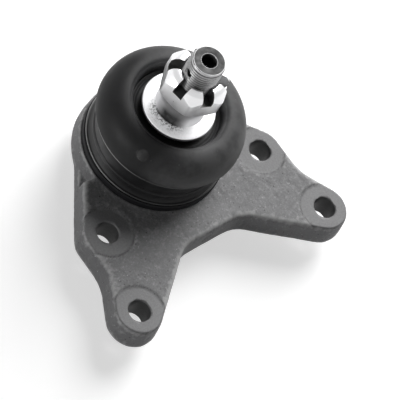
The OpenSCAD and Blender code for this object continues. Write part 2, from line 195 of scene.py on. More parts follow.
class BootSettings(bpy.types.PropertyGroup):
    wall: length("Wall", 2.6 * MM, "Wall of the boot")
    bulge_w: length("Bulge width", 10.4 * MM, "Half width of the bulge's section")
    bulge_h: length("Bulge height", 13.0 * MM, "Height of the bulge above its widest place")
    edge_r: length("Edge", 33.1 * MM, "Radius of the bulge's lower edge")
    edge_z: length("Edge height", 21.7 * MM, "Height of that edge")
    waist_r: length("Waist", 29.9 * MM, "Radius of the waist under the bulge")
    lip_r: length("Lip", 32.7 * MM, "Radius of the lip over the ring")
    recess_r: length("Recess", 20.6 * MM, "Radius of the recess in the crown")
    recess_depth: length("Recess depth", 6.5 * MM, "Depth of that recess")
    nub_place: position("Nub", (-0.0288, -0.0117, 0.0344), "Place of the moulding nub on the bulge")
    nub_r: length("Nub radius", 2.7 * MM, "Radius of that nub")
    nub_h: length("Nub height", 1.50 * MM, "Height of that nub")
    rubber: colour("Rubber", (0.006, 0.006, 0.0065), "Boot rubber")
    # Partly bloomed rubber, partly painted light: the grey that lightens the boot's right and near sides.
    bloom_and_painted_light: colour("Bloom", (0.074, 0.074, 0.075), "Greyed patches of the rubber")
    # Painted highlight: the colour of the thin light lines along the lip's edge and the bulge's lower edge,
    # which also lightens the nub's top a little.
    rubbed: colour("Highlit edges", (0.45, 0.45, 0.45), "Thin light lines on the moulded edges")
    dust: colour("Dust", (0.30, 0.30, 0.29), "Specks of dust on the rubber")


class FittingSettings(bpy.types.PropertyGroup):
    # Partly blackened steel, partly painted shade: near black and dull for the groove under the boot's lip;
    # the neck clip shares it.
    ring_black: colour("Ring and clip", (0.007, 0.007, 0.008), "Blackened steel of the boot's ring and clip")
    ring_black_worn: colour("Ring clouds", (0.016, 0.016, 0.017), "Faint clouds in that black")
    seat_plastic: colour("Seats", (0.75, 0.72, 0.62), "Plastic of the ball seats")
    seat_plastic_worn: colour("Seat clouds", (0.60, 0.57, 0.48), "Faint clouds in that plastic")
    spring_steel: colour("Spring", (0.30, 0.30, 0.33), "Steel of the preload spring")
    spring_steel_worn: colour("Spring clouds", (0.16, 0.16, 0.18), "Faint clouds in that steel")
    cover_steel: colour("Cover", (0.42, 0.42, 0.43), "Sheet of the end cover")
    cover_steel_worn: colour("Cover clouds", (0.26, 0.26, 0.26), "Faint clouds in that sheet")
    plug_zinc: colour("Plug", (0.62, 0.60, 0.54), "Plating of the grease plug")
    plug_zinc_worn: colour("Plug clouds", (0.42, 0.41, 0.37), "Faint clouds in that plating")
    gasket_brass: colour("Gasket", (0.62, 0.36, 0.18), "Copper alloy of the plug's gasket")
    gasket_brass_worn: colour("Gasket clouds", (0.36, 0.20, 0.10), "Faint clouds in that alloy")


class StudSettings(bpy.types.PropertyGroup):
    thread_r: length("Thread", 8.0 * MM, "Outer radius of the thread")
    pitch: length("Pitch", 1.5 * MM, "Pitch of the thread")
    thread_depth: length("Thread depth", 0.86 * MM, "Depth of the thread")
    end_r: length("End", 7.1 * MM, "Radius of the end face")
    lead: length("Lead-in", 2.2 * MM, "Height of the lead-in cone at the stud end")
    key_flats: length("Key size", 6.0 * MM, "Width across flats of the key socket")
    key_depth: length("Key depth", 6.0 * MM, "Depth of the key socket")
    steel: colour("Steel", (0.52, 0.52, 0.525), "Machined stud steel")
    steel_dark: colour("Steel clouds", (0.26, 0.26, 0.26), "Darker clouds in that steel")
    end_steel: colour("End face", (0.060, 0.060, 0.060), "Sawn, oiled end face of the stud")
    # Also the colour of the darkened thread valleys and of the painted shade on one side of the thread.
    grime_and_shade: colour("Grime", (0.05, 0.05, 0.05), "Oil and dust in the thread")
    # Painted shade: near black for the shade inside the key socket and the cotter hole.
    hollow: colour("Hollows", (0.012, 0.012, 0.012), "Inside of the key socket and the cotter hole")


class NutSettings(bpy.types.PropertyGroup):
    flats: length("Across flats", 27.0 * MM, "Width of the hexagon across its flats")
    flange_t: length("Flange", 3.2 * MM, "Thickness of the flange at its root")
    flange_fall: length("Flange fall", 1.45 * MM, "How much lower the flange is at its rim than at its root")
    collar_r: length("Collar", 11.3 * MM, "Radius of the collar")
    collar_h: length("Collar height", 16.0 * MM, "Height of the flange and collar together")
    root_r: length("Root", 0.4 * MM, "Radius of the hollow between flange and collar")
    bore_r: length("Bore", 8.15 * MM, "Radius of the threaded bore")
    relief_r: length("Relief", 9.9 * MM, "Radius of the clearance for the taper")
    edge: length("Edges", 0.35 * MM, "Rounding of the pressed edges")
    slot_w: length("Slot", 5.2 * MM, "Width of the crown slots")
    slot_depth: length("Slot depth", 6.5 * MM, "Depth of the crown slots")
    slot_turn: turned_by("Slot turn", 10, "Turn of the first slot about the stud")
    zinc: colour("Zinc", (0.86, 0.86, 0.87), "Bright zinc plating")
    zinc_dull: colour("Dull zinc", (0.80, 0.80, 0.81), "Duller, granular plating near the flange's root")
    # Partly grain, partly painted shade: the dark pores of the granular zone, which lies on the side away
    # from the key light.
    pores_and_shade: colour("Pores", (0.04, 0.04, 0.04), "Dark pores in that granular plating")
    speck: colour("Specks", (0.10, 0.10, 0.10), "Small dark specks in the plating")
    # Painted shade: the dark of the collar's side away from the key light.
    collar_shade: colour("Shade", (0.02, 0.02, 0.02), "Stain up one side of the collar")
    # Painted shade: near black for the shade in the slots and the bore.
    film: colour("Slot film", (0.11, 0.11, 0.11), "Dark film in the slots and the bore")


class StageSettings(bpy.types.PropertyGroup):
    camera_place: position("Camera", (-0.74588, -0.32808, 1.16694), "Place of the camera")
    camera_target: position("Target", (0.00348, -0.03241, 0.0), "Point at the middle of the picture")
    camera_roll: turned_by("Roll", -35.94, "Turn of the camera about its line of sight")
    lens: level("Lens", 288.0, "Focal length in millimetres", "CAMERA")
    key_power: level("Key light", 24.0, "Power of the large light, high behind on the right", "POWER")
    rim_power: level("Rim light", 9.5, "Power of the low light from behind on the left", "POWER")
    back_power: level("Back light", 19.0, "Power of the wide, low light behind on the right", "POWER")
    ambient: level("Surround", 0.03, "Strength of the dim surround")
    shine: level("Shine", 1.0, "Strength of the pale walls that glossy faces mirror")
    ceiling: level("Ceiling", 0.75, "Strength of the ceiling that glossy faces mirror")
    paper: colour("Paper", (0.60, 0.60, 0.60), "Floor as the lamps light it")
    glow: level("Paper glow", 0.58, "Whiteness that the paper adds for the camera")


# Node trees

class Nodes:
    """Short calls that add nodes to a shader tree."""

    def __init__(self, tree, place):
        self.tree = tree
        self.place = self.node("ShaderNodeTexCoord").outputs[place]

    def node(self, kind, **settings):
        made = self.tree.nodes.new(kind)
        for key, value in settings.items():
            setattr(made, key, value)
        return made

    def feed(self, socket, value):
        if isinstance(value, bpy.types.NodeSocket):
            self.tree.links.new(value, socket)
        else:
            socket.default_value = value

    def stretched(self, x, y, z):
        made = self.node("ShaderNodeMapping")
        self.feed(made.inputs["Vector"], self.place)
        made.inputs["Scale"].default_value = (x, y, z)
        return made.outputs["Vector"]

    def noise(self, grain, detail=3.0, roughness=0.55, place=None):
        """Noise whose blotches are about grain wide."""
        made = self.node("ShaderNodeTexNoise")
        self.feed(made.inputs["Vector"], place or self.place)
        made.inputs["Scale"].default_value = 1.0 / grain
        made.inputs["Detail"].default_value = detail
        made.inputs["Roughness"].default_value = roughness
        return made.outputs["Fac"]

    def specks(self, spacing, size, core, patch, start, end, place=None):
        """Dots about one spacing apart, full below core and gone above size, in some patches only."""
        cells = self.node("ShaderNodeTexVoronoi")
        self.feed(cells.inputs["Vector"], self.place)
        cells.inputs["Scale"].default_value = 1.0 / spacing
        patches = self.ramp(self.noise(patch, 1.0, place=place), start, end)
        return self.times(self.ramp(cells.outputs["Distance"], size, core), patches)

    def ramp(self, value, low, high, start=0.0, end=1.0):
        """Maps low..high of a value to start..end, held at both ends."""
        made = self.node("ShaderNodeMapRange")
        made.clamp = True
        self.feed(made.inputs["Value"], value)
        for key, number in (("From Min", low), ("From Max", high), ("To Min", start), ("To Max", end)):
            made.inputs[key].default_value = number
        return made.outputs["Result"]

    def math(self, operation, first, second):
        made = self.node("ShaderNodeMath", operation=operation)
        self.feed(made.inputs[0], first)
        self.feed(made.inputs[1], second)
        return made.outputs["Value"]

    def times(self, first, second):
        return self.math("MULTIPLY", first, second)

    def larger(self, first, second):
        return self.math("MAXIMUM", first, second)

    def mix(self, factor, first, second):
        """One colour where the factor is 0 and another where it is 1."""
        made = self.node("ShaderNodeMix", data_type="RGBA")
        self.feed(made.inputs["Factor"], factor)
        for key, value in (("A", first), ("B", second)):
            socket = [s for s in made.inputs if s.name == key and s.type == "RGBA"][0]
            self.feed(socket, value if isinstance(value, bpy.types.NodeSocket) else (*value, 1.0))
        return [s for s in made.outputs if s.type == "RGBA"][0]

    def mix_value(self, factor, first, second):
        """One number where the factor is 0 and another where it is 1."""
        made = self.node("ShaderNodeMix", data_type="FLOAT")
        for key, value in (("Factor", factor), ("A", first), ("B", second)):
            self.feed([s for s in made.inputs if s.name == key and s.type == "VALUE"][0], value)
        return [s for s in made.outputs if s.type == "VALUE"][0]

    def attribute(self, name):
        return self.node("ShaderNodeAttribute", attribute_name=name).outputs["Fac"]

    def along(self, axis):
        """The place along one axis."""
        made = self.node("ShaderNodeSeparateXYZ")
        self.feed(made.inputs["Vector"], self.place)
        return made.outputs[axis]

    def bump(self, height, distance, strength, below=None):
        made = self.node("ShaderNodeBump")
        made.inputs["Distance"].default_value = distance
        made.inputs["Strength"].default_value = strength
        self.feed(made.inputs["Height"], height)
        if below is not None:
            self.feed(made.inputs["Normal"], below)
        return made.outputs["Normal"]


class Finish(Nodes):
    """A material whose patterns are placed in the model's own frame."""

    def __init__(self, name):
        self.material = bpy.data.materials.new(name)
        self.material.use_nodes = True
        super().__init__(self.material.node_tree, "Object")
        self.shader = self.tree.nodes["Principled BSDF"]

    def plain(self, **values):
        """Numbers and colours that are the same all over the surface."""
        for key, value in values.items():
            socket = self.shader.inputs[key.replace("_", " ")]
            socket.default_value = (*value, 1.0) if hasattr(value, "__len__") else value

    def patterned(self, **values):
        """Patterns that differ from place to place."""
        for key, value in values.items():
            self.feed(self.shader.inputs[key.replace("_", " ")], value)


def forging_finish(settings):
    """Dark grey forging skin: patches of scale, grain, specks, bright rubbed edges and machined faces, with
    painted shade on the steep walls, in the bolt holes and as a thin line round each spot face.
    """
    made = Finish("forged_iron")
    cut = made.attribute("cut")
    patches = made.ramp(made.noise(14 * MM, 4.0, 0.6), 0.40, 0.66)
    grain = made.noise(0.9 * MM, 3.0, 0.7)
    mottle = made.noise(2.6 * MM, 4.0, 0.6)
    base = made.mix(made.times(patches, 0.45), settings.skin, settings.skin_dark)
    base = made.mix(made.ramp(mottle, 0.50, 0.72, 0.0, 0.35), base, settings.skin_worn)
    base = made.mix(made.ramp(grain, 0.52, 0.34, 0.0, 0.52), base, settings.skin_dark)
    base = made.mix(made.ramp(grain, 0.54, 0.70, 0.0, 0.24), base, settings.skin_worn)
    # Painted shade: steep walls are darkened towards the scale colour.
    base = made.mix(made.ramp(made.attribute("wall"), 0.2, 0.8, 0.0, 0.62), base, settings.skin_dark)
    base = made.mix(made.specks(1.6 * MM, 0.14, 0.05, 6 * MM, 0.46, 0.58), base, settings.speck)
    flattened = made.stretched(1.0, 1.0, 3.0)
    dots = made.specks(2.1 * MM, 0.20, 0.10, 4 * MM, 0.46, 0.54, flattened)
    base = made.mix(dots, base, settings.pit_dark)
    rubbed = made.math("ADD", made.attribute("worn"), made.ramp(mottle, 0.35, 0.65, -0.25, 0.25))
    base = made.mix(made.ramp(rubbed, 0.20, 0.8, 0.0, 0.75), base, settings.skin_worn)
    machined = made.mix(made.ramp(grain, 0.36, 0.62, 0.55, 0.0), settings.skin_cut, settings.skin_dark)
    base = made.mix(cut, base, machined)
    # Painted shadow: a thin dark line round each spot face's edge, where its step would cast shade.
    rim = made.times(made.attribute("rim"), made.ramp(mottle, 0.38, 0.56))
    base = made.mix(rim, base, settings.pit_dark)
    coarse = made.bump(mottle, 0.10 * MM, 0.8)
    made.patterned(
        # Painted shade in the bolt holes.
        Base_Color=made.mix(made.attribute("bore"), base, settings.bore_shade),
        Roughness=made.mix_value(cut, made.ramp(mottle, 0.3, 0.7, 0.52, 0.70), 0.50),
        Normal=made.bump(grain, 0.09 * MM, 0.8, coarse))
    made.plain(Specular_IOR_Level=0.35)
    return made.material


def rubber_finish(settings):
    """Black moulded rubber with a soft sheen, greyed in cloudy patches that are partly bloomed rubber and
    partly painted light on its right and near sides, greyed at the back of its foot, with painted highlight
    lines on its edges.
    """
    made = Finish("boot_rubber")
    x, y, z = made.along("X"), made.along("Y"), made.along("Z")
    cloud = made.noise(9 * MM, 3.0, 0.6)
    grain = made.noise(0.5 * MM, 2.0, 0.6)
    foot = made.times(made.ramp(z, 17 * MM, 13 * MM), made.ramp(y, -8 * MM, 8 * MM, 0.0, 1.8))
    # Painted light: the grey is spread over the near side of the bulge and over the right side, which faces
    # the key light.
    near_side_light = made.times(made.ramp(z, 21 * MM, 26 * MM, 0.25, 1.0),
                           made.ramp(y, -14 * MM, -26 * MM, 0.12, 1.3))
    sides = made.larger(made.ramp(x, -6 * MM, 16 * MM, 0.12, 1.0), near_side_light)
    bloom_and_light = made.times(made.ramp(cloud, 0.36, 0.66, 0.45, 1.0), made.larger(foot, sides))
    base = made.mix(bloom_and_light, settings.rubber, settings.bloom_and_painted_light)
    # Painted highlight lines along the moulded edges.
    base = made.mix(made.attribute("edge"), base, settings.rubbed)
    base = made.mix(made.specks(2.4 * MM, 0.07, 0.02, 7 * MM, 0.56, 0.64), base, settings.dust)
    soft = made.bump(cloud, 0.20 * MM, 0.5)
    made.patterned(
        Base_Color=base,
        Roughness=made.ramp(cloud, 0.3, 0.7, 0.44, 0.58),
        Normal=made.bump(grain, 0.02 * MM, 0.5, soft))
    made.plain(Specular_IOR_Level=0.16)
    return made.material


def steel_finish(settings):
    """Turned stud steel with darkened grain, darkened thread valleys, painted shade on one side of the
    thread, a sawn end face, and painted shade in the key socket and the cotter hole.
    """
    made = Finish("stud_steel")
    end, z = stud_high.z, made.along("Z")
    radius = made.math("POWER", made.math("ADD", made.math("POWER", made.along("X"), 2.0),
                                          made.math("POWER", made.along("Y"), 2.0)), 0.5)
    cloud = made.noise(3.0 * MM, 4.0, 0.6)
    grain = made.noise(0.35 * MM, 3.0, 0.6)
    base = made.mix(made.ramp(cloud, 0.35, 0.70, 0.0, 0.45), settings.steel, settings.steel_dark)
    base = made.mix(made.ramp(grain, 0.55, 0.35, 0.0, 0.35), base, settings.grime_and_shade)
    # The thread's valleys are darkened by how deep they lie in the groove.
    base = made.mix(made.ramp(made.attribute("groove"), 0.20, 0.80, 0.0, 0.95), base, settings.grime_and_shade)
    on_end = made.times(made.ramp(z, end - 0.10 * MM, end - 0.02 * MM),
                        made.ramp(radius, settings.end_r, settings.end_r - 0.2 * MM))
    past_chamfer = made.ramp(radius, SOCKET_CHAMFER_R + 0.05 * MM, SOCKET_CHAMFER_R + 0.20 * MM)
    oiled = made.mix(made.ramp(cloud, 0.35, 0.65), settings.end_steel,
                     [2 * part for part in settings.end_steel])
    base = made.mix(made.times(on_end, past_chamfer), base, oiled)
    below_socket = end - settings.key_depth - 2 * MM
    in_socket = made.times(made.ramp(radius, SOCKET_MOUTH_R + 0.10 * MM, SOCKET_MOUTH_R - 0.02 * MM),
                           made.ramp(z, below_socket, below_socket + 0.1 * MM))
    core_r, hole_top = 7.00 * MM, end - 3.6 * MM
    in_hole = made.times(made.ramp(radius, core_r, core_r - 0.20 * MM),
                         made.ramp(z, hole_top, hole_top - 0.4 * MM))
    # Painted shade inside the key socket and the cotter hole.
    hollow = made.larger(in_socket, in_hole)
    # Painted shade: the thread is darkened, and made less metallic, on the side away from the key light.
    oily = made.times(made.attribute("oily"), made.ramp(cloud, 0.30, 0.60, 0.70, 1.0))
    base = made.mix(oily, base, settings.grime_and_shade)
    made.patterned(
        Base_Color=made.mix(hollow, base, settings.hollow),
        Roughness=made.mix_value(on_end, made.ramp(cloud, 0.3, 0.7, 0.30, 0.42), 0.72),
        Metallic=made.mix_value(made.larger(hollow, oily), 0.85, 0.1),
        Normal=made.bump(grain, 0.03 * MM, 0.6))
    made.plain(Specular_IOR_Level=0.1)
    return made.material


def zinc_finish(settings):
    """Bright zinc plating, satin, with a granular zone on the flange whose dark pores are partly painted
    shade, painted shade up one side of the collar and in the slots and bore, and a few dark specks.
    """
    made = Finish("nut_zinc")
    dull, slot = made.attribute("dull"), made.attribute("slot")
    grain = made.noise(0.45 * MM, 3.0, 0.6)
    cloud = made.noise(3.5 * MM, 3.0, 0.55)
    lumps = made.noise(0.9 * MM, 4.0, 0.65)
    granular = made.ramp(made.math("ADD", dull, made.ramp(lumps, 0.35, 0.65, -0.45, 0.45)), 0.30, 0.80)
    base = made.mix(granular, settings.zinc, settings.zinc_dull)
    # Dark pores in the granular zone: partly grain, partly painted shade on the side away from the key light.
    base = made.mix(made.times(granular, made.ramp(lumps, 0.50, 0.43)), base, settings.pores_and_shade)
    base = made.mix(made.specks(2.8 * MM, 0.075, 0.03, 5 * MM, 0.54, 0.60), base, settings.speck)
    # Painted shade up the collar's side away from the key light, where the plating is also made less
    # metallic.
    shaded_collar = made.times(made.attribute("root"), made.ramp(cloud, 0.3, 0.6, 0.92, 1.0))
    base = made.mix(shaded_collar, base, settings.collar_shade)
    # Painted shade in the slots and the bore, where the plating is also made plain, not metallic.
    shaded_slots = made.times(slot, made.ramp(cloud, 0.35, 0.65, 0.35, 0.75))
    made.patterned(
        Base_Color=made.mix(slot, base, settings.film),
        Roughness=made.math("ADD", made.ramp(cloud, 0.3, 0.7, 0.28, 0.38), made.times(dull, 0.34)),
        Metallic=made.mix_value(shaded_slots, made.ramp(shaded_collar, 0.3, 1.0, 1.0, 0.1), 0.0),
        Normal=made.bump(grain, 0.02 * MM, 0.5))
    made.plain(Specular_IOR_Level=0.1)
    return made.material


def sheet_finish(name, base, worn, roughness, metallic, gloss):
    """Plated or blackened sheet and wire: faint clouds in colour and gloss, and fine scratches."""
    made = Finish(name)
    cloud = made.noise(4 * MM, 4.0, 0.6)
    scratches = made.noise(0.8 * MM, 2.0, 0.6, made.stretched(1.0, 0.12, 1.0))
    made.patterned(
        Base_Color=made.mix(made.ramp(cloud, 0.42, 0.72, 0.0, 0.6), base, worn),
        Roughness=made.ramp(cloud, 0.3, 0.7, roughness - 0.07, roughness + 0.07),
        Normal=made.bump(scratches, 0.01 * MM, 0.6))
    made.plain(Metallic=metallic, Specular_IOR_Level=gloss)
    return made.material


# Mesh helpers

def dress(piece, material):
    """Gives a piece its material."""
    piece.data.materials.clear()
    piece.data.materials.append(material)
    for face in piece.data.polygons:
        face.material_index = 0


def dress_fittings(context, slots):
    """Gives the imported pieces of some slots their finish."""
    settings = context.scene.ball_joint_fittings
    for slot in slots:
        pieces, roughness, metallic, gloss = FITTINGS[slot]
        base, worn = getattr(settings, slot), getattr(settings, slot + "_worn")
        material = sheet_finish(slot, base, worn, roughness, metallic, gloss)
        for name in pieces:
            dress(nodes[name], material)


def mesh_piece(name, vertices, faces, sharp=SHARP):
    """A smooth-shaded mesh whose edges stay sharp above an angle."""
    mesh = bpy.data.meshes.new(name)
    mesh.from_pydata([tuple(v) for v in vertices], [], faces)
    mesh.update()
    mesh.shade_smooth()
    mesh.set_sharp_from_angle(angle=sharp)
    made = bpy.data.objects.new(name, mesh)
    bpy.context.scene.collection.objects.link(made)
    return made


def ring(radius, height, steps):
    """Points of one ring round the stud axis."""
    turns = [2 * math.pi * k / steps for k in range(steps)]
    return [(radius * math.cos(turn), radius * math.sin(turn), height) for turn in turns]


def ring_faces(rows, steps, closed=True):
    """Faces between rings of points, and from the last ring back to the first where closed."""
    faces = []
    for row in range(rows if closed else rows - 1):
        here, after = row * steps, (row + 1) % rows * steps
        faces += [(here + k, here + (k + 1) % steps, after + (k + 1) % steps, after + k)
                  for k in range(steps)]
    return faces


def turned(name, section, steps):
    """Revolves a closed section of (radius, height) points about the stud axis."""
    vertices = [point for radius, height in section for point in ring(radius, height, steps)]
    made = mesh_piece(name, vertices, ring_faces(len(section), steps))
    face_outwards(made)
    return made


def face_outwards(piece):
    """Turns every face of a closed mesh outwards."""
    work = bmesh.new()
    work.from_mesh(piece.data)
    bmesh.ops.recalc_face_normals(work, faces=work.faces)
    work.to_mesh(piece.data)
    work.free()


def vectors(items, name):
    """One vector of each vertex or face of a mesh, such as its place."""
    found = np.empty(len(items) * 3)
    items.foreach_get(name, found)
    return found.reshape(-1, 3)


def set_points(mesh, points):
    mesh.vertices.foreach_set("co", points.ravel())
    mesh.update()


def store(mesh, name, values, domain="POINT"):
    """Keeps one number for each vertex or face, for the material to read."""
    layer = mesh.attributes.new(name, "FLOAT", domain)
    layer.data.foreach_set("value", np.asarray(values, np.float32))


def remeshed(name, node, grid):
    """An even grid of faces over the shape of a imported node, as a new piece."""
    made = bpy.data.objects.new(name, nodes[node].data.copy())
    bpy.context.scene.collection.objects.link(made)
    work = bmesh.new()
    work.from_mesh(made.data)
    bmesh.ops.remove_doubles(work, verts=work.verts, dist=0.001 * MM)
    work.to_mesh(made.data)
    work.free()
    step = made.modifiers.new("Grid", "REMESH")
    step.mode = "VOXEL"
    step.voxel_size = grid
    graph = bpy.context.evaluated_depsgraph_get()
    even = bpy.data.meshes.new_from_object(made.evaluated_get(graph))
    made.modifiers.clear()
    made.data = even
    even.name = name
    return made


def edge_pairs(mesh):
    """The two vertices of each edge."""
    pairs = np.empty(len(mesh.edges) * 2, np.int32)
    mesh.edges.foreach_get("vertices", pairs)
    return pairs.reshape(-1, 2)


def smoothed(values, pairs, passes, weight=None):
    """Moves each vertex's values halfway to its neighbours', passes times. weight holds some back."""
    count = np.bincount(pairs.ravel(), minlength=len(values)).astype(float)[:, None]
    values = values.reshape(len(values), -1).copy()
    share = 0.5 if weight is None else 0.5 * weight[:, None]
    for _ in range(passes):
        total = np.zeros_like(values)
        for column in range(values.shape[1]):
            total[:, column] = (
                np.bincount(pairs[:, 0], values[pairs[:, 1], column], len(values))
                + np.bincount(pairs[:, 1], values[pairs[:, 0], column], len(values)))
        values = values + share * (total / np.maximum(count, 1) - values)
    return values


def toward(points, degrees, narrow):
    """How far each point faces one way from the stud axis: 1 that way, 0 past a quarter turn over narrow."""
    off = np.arctan2(points[:, 1], points[:, 0]) - math.radians(degrees)
    off = (off + math.pi) % (2 * math.pi) - math.pi
    return np.clip(1.15 * np.cos(np.clip(narrow * off, -math.pi / 2, math.pi / 2)), 0, 1)


def noise_at(points, grain, seed=0.0):
    """Perlin noise, about -1 to 1, at each point."""
    offset = Vector((seed, seed * 1.7, seed * 0.6))
    return np.array([noise.noise(Vector(p) / grain + offset) for p in points])


# Bracket

def skin_lift(points, settings):
    """Height of the forged skin at each point: broad lumps, fine grain and scale pits."""
    lumps = noise_at(points, 11 * MM) + 0.5 * noise_at(points, 4.5 * MM, 3.0)
    grain = noise_at(points, 1.5 * MM, 7.0)
    pits = np.clip(noise_at(points, 2.6 * MM, 11.0) - 0.38, 0, 0.25) / 0.25
    return settings.swell * lumps + settings.grain * grain - settings.pit * pits


def rubbed_edges(points, normals, pairs):
    """How far each point stands out from its neighbours: 0 on flats and 1 on outer edges."""
    stands_out = -np.einsum("ij,ij->i", smoothed(points, pairs, 2) - points, normals)
    full = 0.05 * MM
    return np.clip(smoothed(np.clip(stands_out / full, 0, 1), pairs, 2)[:, 0], 0, 1)


class BALLJOINT_OT_bracket(bpy.types.Operator):
    """Forged bracket with its barrel: uneven skin, rounded edges, scale pits, machined faces and bores"""

    bl_idname = "balljoint.bracket"
    bl_label = "Forged bracket"

    def execute(self, context):
        settings = context.scene.ball_joint_forging
        piece = remeshed("forged_bracket", "housing", settings.grid)
        mesh = piece.data
        pairs = edge_pairs(mesh)
        flat = vectors(mesh.vertices, "co")
        x, y, z = flat.T
        hole = np.min([np.hypot(x - hole_x, y - hole_y) for hole_x, hole_y in bolt_holes()], axis=0)
        bore_reach = bolt_r + 0.75 * settings.grid
        in_bore = hole < bore_reach
        on_spot = (hole < settings.spot_r) & (np.abs(z) < 0.15 * MM) & ~in_bore
        inside_barrel = (np.hypot(x, y) < ring_high.x + 0.6 * MM) & (z > plate_bottom_z)
        free = (~(in_bore | on_spot | inside_barrel)).astype(float)
        points = smoothed(flat, pairs, settings.round_passes, free)
        points[on_spot, 2] = 0.0
        for hole_x, hole_y in bolt_holes():
            near = np.hypot(x - hole_x, y - hole_y)
            wall = near < bore_reach
            points[wall, 0] = hole_x + (x[wall] - hole_x) / near[wall] * bolt_r
            points[wall, 1] = hole_y + (y[wall] - hole_y) / near[wall] * bolt_r
        set_points(mesh, points)
        normals = vectors(mesh.vertices, "normal")
        worn = rubbed_edges(points, normals, pairs)
        skin = smoothed(free, pairs, 2)[:, 0] * free
        points = points + normals * (skin_lift(points, settings) * skin)[:, None]
        points[:, 2] = np.maximum(points[:, 2], cad_low.z)
        set_points(mesh, points)
        on_top = np.clip(1.2 - np.abs(points[:, 2]) / (0.8 * MM), 0, 1)
        step_shade_w = 0.42 * MM
        # Steep faces, stored below as walls to be darkened as painted shade.
        steep = (np.abs(normals[:, 2]) < 0.5).astype(float)
        store(mesh, "worn", worn * skin)
        store(mesh, "cut", smoothed((on_spot | in_bore).astype(float), pairs, 1)[:, 0])
        # Marks a thin line round each spot face's edge for a painted shadow.
        store(mesh, "rim", on_top * np.exp(-((hole - settings.spot_r) / step_shade_w) ** 2))
        store(mesh, "wall", smoothed(steep, pairs, 2)[:, 0] * skin)
        # Marks the bolt holes' walls for painted shade.
        store(mesh, "bore", in_bore & (points[:, 2] < -0.5 * MM))
        mesh.shade_smooth()
        dress(piece, forging_finish(settings))
        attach(piece, "housing")
        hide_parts("housing")
        return {"FINISHED"}


# Boot

def bow(centre, across, up, start, end, count):
    """Points on an ellipse in the section plane, from one angle in degrees to another."""
    turns = [math.radians(start + (end - start) * k / count) for k in range(count + 1)]
    return [(centre[0] + across * math.cos(turn), centre[1] + up * math.sin(turn)) for turn in turns]


def rounded(points, radius, count=4):
    """Replaces each inner corner of an open line by a small arc."""
    found = [points[0]]
    for before, corner, after in zip(points, points[1:], points[2:]):
        here = Vector(corner)
        back, onward = Vector(before) - here, Vector(after) - here
        reach = min(radius, back.length * 0.45, onward.length * 0.45)
        first, last = here + back.normalized() * reach, here + onward.normalized() * reach
        for k in range(count + 1):
            t = k / count
            found.append(tuple(first * (1 - t) ** 2 + here * 2 * t * (1 - t) + last * t * t))
    return found + [points[-1]]


def seam(settings):
    """Outer and inner ends of the seam between the boot's base and its bulge, in the section."""
    return ((settings.waist_r + 0.7 * MM, settings.edge_z - 1.5 * MM),
            (settings.waist_r - 1.9 * MM, settings.edge_z - 1.0 * MM))


def base_line(settings):
    """Section of the boot's base: foot in the ring, lip over it, ridge and waist."""
    ring_top, lip_r, waist_r = ring_high.z, settings.lip_r, settings.waist_r
    foot_r = ring_high.x - 2 * MM
    foot_inner_r = foot_r - 2.4 * MM
    seam_out, seam_in = seam(settings)
    foot = [(foot_inner_r, boot_low.z), (foot_r, boot_low.z), (foot_r, ring_top)]
    lip = [(lip_r - 0.5 * MM, ring_top + 0.1 * MM)]
    lip += bow((lip_r - 0.45 * MM, ring_top + 1.1 * MM), 0.45 * MM, 0.45 * MM, -50, 110, 10)
    lip += [(lip_r - 1.0 * MM, ring_top + 1.5 * MM), (lip_r - 1.5 * MM, ring_top + 2.0 * MM),
            (lip_r - 1.9 * MM, ring_top + 3.0 * MM)]
    ridge = bow((lip_r - 3.1 * MM, ring_top + 5.0 * MM), 1.2 * MM, 1.3 * MM, -40, 70, 10)
    waist = rounded([ridge[-1], (waist_r + 0.3 * MM, ring_top + 8 * MM), (waist_r, ring_top + 12 * MM),
                     seam_out], 2.0 * MM)
    inner = [seam_in, (waist_r - 2.7 * MM, 17 * MM), (waist_r - 2.5 * MM, 12 * MM),
             (foot_inner_r, 8.5 * MM)]
    return foot + lip + ridge + waist[1:] + inner


def bulge_lines(settings):
    """Outer and inner lines of the boot's bulge, from the seam to the top and back."""
    wall, bulge_w, bulge_h = settings.wall, settings.bulge_w, settings.bulge_h
    edge_r, edge_z = settings.edge_r, settings.edge_z
    centre = (boot_high.x - bulge_w, boot_high.z - bulge_h)
    seam_out, seam_in = seam(settings)
    under = [seam_out, (edge_r - 1.0 * MM, edge_z - 0.40 * MM)]
    bead = bow((edge_r - 0.30 * MM, edge_z), 0.42 * MM, 0.42 * MM, -80, 60, 8)
    turn_in = math.degrees(math.acos((edge_r + 0.05 * MM - centre[0]) / bulge_w))
    drop = (centre[1] - edge_z - 0.35 * MM) / math.sin(math.radians(turn_in))
    side = bow(centre, bulge_w, drop, -turn_in, 0, 14)
    upper = bow(centre, bulge_w, bulge_h, 0, 90, 48)
    inner = bow(centre, bulge_w - wall, bulge_h - wall, 90, 0, 24)
    inner += [(edge_r - 2.4 * MM, edge_z + 0.8 * MM), seam_in]
    return under + bead + side + upper[1:], inner


